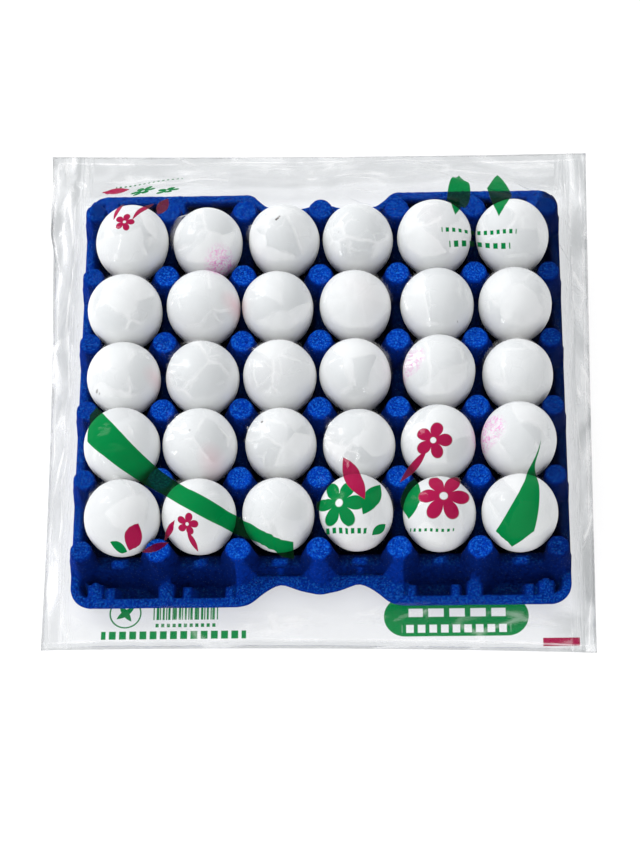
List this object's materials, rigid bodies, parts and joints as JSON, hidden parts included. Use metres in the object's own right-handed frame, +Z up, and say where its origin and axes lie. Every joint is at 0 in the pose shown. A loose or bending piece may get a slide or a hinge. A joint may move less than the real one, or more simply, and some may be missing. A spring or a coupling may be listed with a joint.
{
  "type": "bagged tray of eggs",
  "caption": "Moulded pulp egg tray filled with white hen's eggs and wrapped in a flat clear film bag, lying on its base.",
  "frame": {"origin": "middle of the bag's flat underside, on the surface the pack rests on", "axes": "+Z up through the eggs' blunt ends, +X along a row of cups to the right, +Y from the front notch to the back"},
  "size_m": [0.345, 0.348, 0.0639],
  "materials": {
    "pulp": "blue dyed moulded pulp, matt and fibrous",
    "eggshell": "white shell, satin",
    "film": "clear thin film, creased"
  },
  "bodies": {
    "root": {"bag": "film", "tray": "pulp", "egg_r1_c1": "eggshell", "egg_r1_c2": "eggshell", "egg_r1_c3": "eggshell", "egg_r1_c4": "eggshell", "egg_r1_c5": "eggshell", "egg_r1_c6": "eggshell", "egg_r2_c1": "eggshell", "egg_r2_c2": "eggshell", "egg_r2_c3": "eggshell", "egg_r2_c4": "eggshell", "egg_r2_c5": "eggshell", "egg_r2_c6": "eggshell", "egg_r3_c1": "eggshell", "egg_r3_c2": "eggshell", "egg_r3_c3": "eggshell", "egg_r3_c4": "eggshell", "egg_r3_c5": "eggshell", "egg_r3_c6": "eggshell", "egg_r4_c1": "eggshell", "egg_r4_c2": "eggshell", "egg_r4_c3": "eggshell", "egg_r4_c4": "eggshell", "egg_r4_c5": "eggshell", "egg_r4_c6": "eggshell", "egg_r5_c1": "eggshell", "egg_r5_c2": "eggshell", "egg_r5_c3": "eggshell", "egg_r5_c4": "eggshell", "egg_r5_c5": "eggshell", "egg_r5_c6": "eggshell"}
  },
  "joints": []
}
